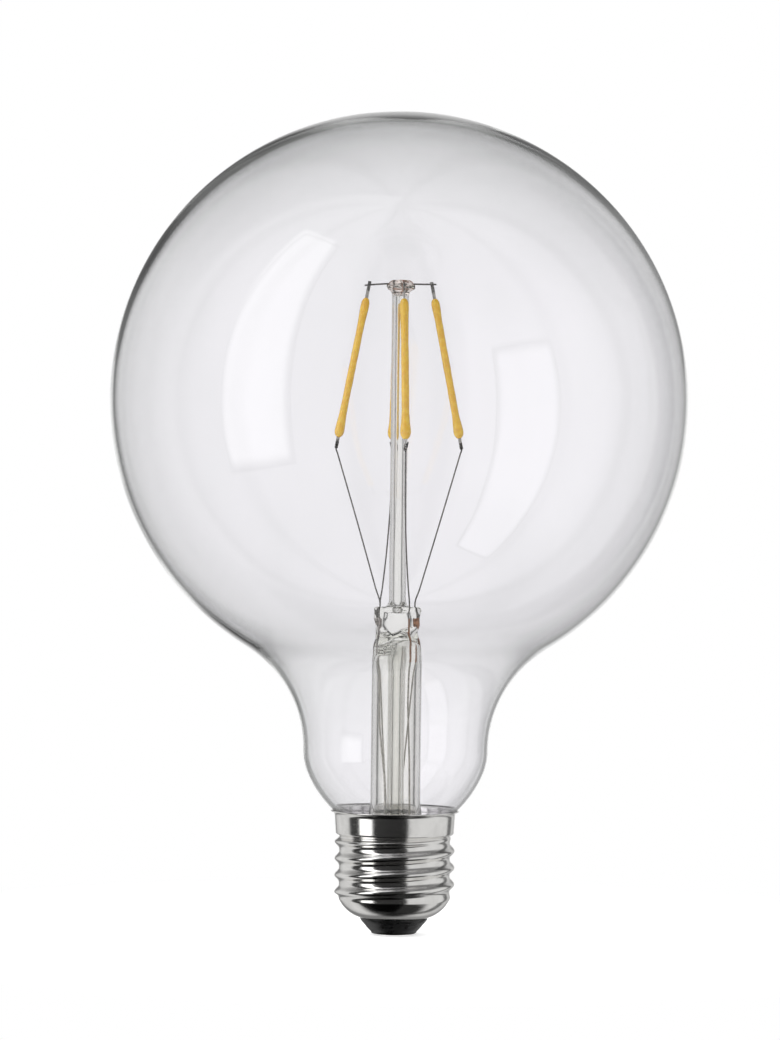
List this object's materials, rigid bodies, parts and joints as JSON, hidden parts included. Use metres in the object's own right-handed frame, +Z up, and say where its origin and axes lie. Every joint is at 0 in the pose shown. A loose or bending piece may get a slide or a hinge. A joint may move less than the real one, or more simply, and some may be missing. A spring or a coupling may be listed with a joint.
{
  "type": "globe light bulb",
  "caption": "Clear glass globe bulb with slanted yellow light strips on a glass stem and a nickel screw cap that turns into a lamp holder.",
  "frame": {"origin": "centre of the centre contact's lower face, on the bulb's axis, where the cap is held", "axes": "+Z up the bulb's axis from the cap to the globe's crown, -Y the front of the picture"},
  "size_m": [0.125, 0.125, 0.178],
  "materials": {
    "clear_glass": "clear, polished",
    "stem_glass": "clear, polished",
    "nickel_plate": "bright nickel plate",
    "cement": "baked cement",
    "black_glass": "semi-gloss black glass",
    "contact_metal": "tinned brass",
    "strip_coating": "satin yellow silicone",
    "carrier_metal": "satin",
    "support_metal": "satin",
    "lead_metal": "satin",
    "seal_copper": "copper sheath",
    "board": "green lacquer",
    "capacitor_can": "sleeved can",
    "chip_body": "moulded",
    "resistor_body": "lacquered",
    "supply_wire": "tinned"
  },
  "bodies": {
    "root": {"glass_envelope": "clear_glass", "glass_stem": "stem_glass", "exhaust_tube": "stem_glass", "support_post": "stem_glass", "support_wire_sides": "support_metal", "support_wire_front_back": "support_metal", "screw_shell": "nickel_plate", "cap_cement": "cement", "cap_insulator": "black_glass", "centre_contact": "contact_metal", "driver_board": "board", "smoothing_capacitor": "capacitor_can", "bridge_rectifier": "chip_body", "current_regulator": "chip_body", "fuse_resistor": "resistor_body", "contact_lead": "supply_wire", "shell_lead": "supply_wire", "filament_left": "strip_coating", "filament_strip_left": "carrier_metal", "lead_wire_left": "lead_metal", "seal_wire_left": "seal_copper", "outer_lead_left": "lead_metal", "filament_right": "strip_coating", "filament_strip_right": "carrier_metal", "lead_wire_right": "lead_metal", "seal_wire_right": "seal_copper", "outer_lead_right": "lead_metal", "filament_front": "strip_coating", "filament_strip_front": "carrier_metal", "lead_wire_front": "lead_metal", "seal_wire_front": "seal_copper", "outer_lead_front": "lead_metal", "filament_back": "strip_coating", "filament_strip_back": "carrier_metal", "lead_wire_back": "lead_metal", "seal_wire_back": "seal_copper", "outer_lead_back": "lead_metal"}
  },
  "joints": []
}
